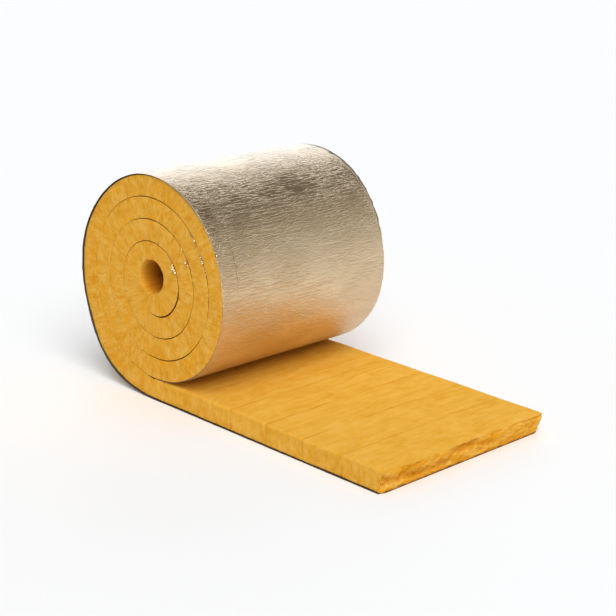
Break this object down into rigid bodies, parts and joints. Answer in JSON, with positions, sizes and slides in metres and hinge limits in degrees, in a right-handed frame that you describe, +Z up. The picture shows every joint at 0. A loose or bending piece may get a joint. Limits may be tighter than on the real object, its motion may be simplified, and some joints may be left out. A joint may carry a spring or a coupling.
{
  "type": "insulation roll",
  "caption": "Foil-faced mineral wool lamella mat wound into a roll, with the outer end of the mat laid out flat on the floor and a bore through the middle.",
  "frame": {"origin": "on the floor under the middle of the whole object, halfway along the roll's axis and halfway between the roll's outer side and the cut end of the mat", "axes": "+X the way the mat is unrolled, from the roll to its cut end; +Y along the roll's axis and bore; +Z up"},
  "size_m": [0.965, 0.5, 0.52],
  "materials": {
    "wool": "fibrous and matte, amber yellow",
    "foil": "thin wrinkled foil, satin, pale champagne"
  },
  "bodies": {
    "root": {"wool_mat": "wool", "foil_facing": "foil"}
  },
  "joints": []
}
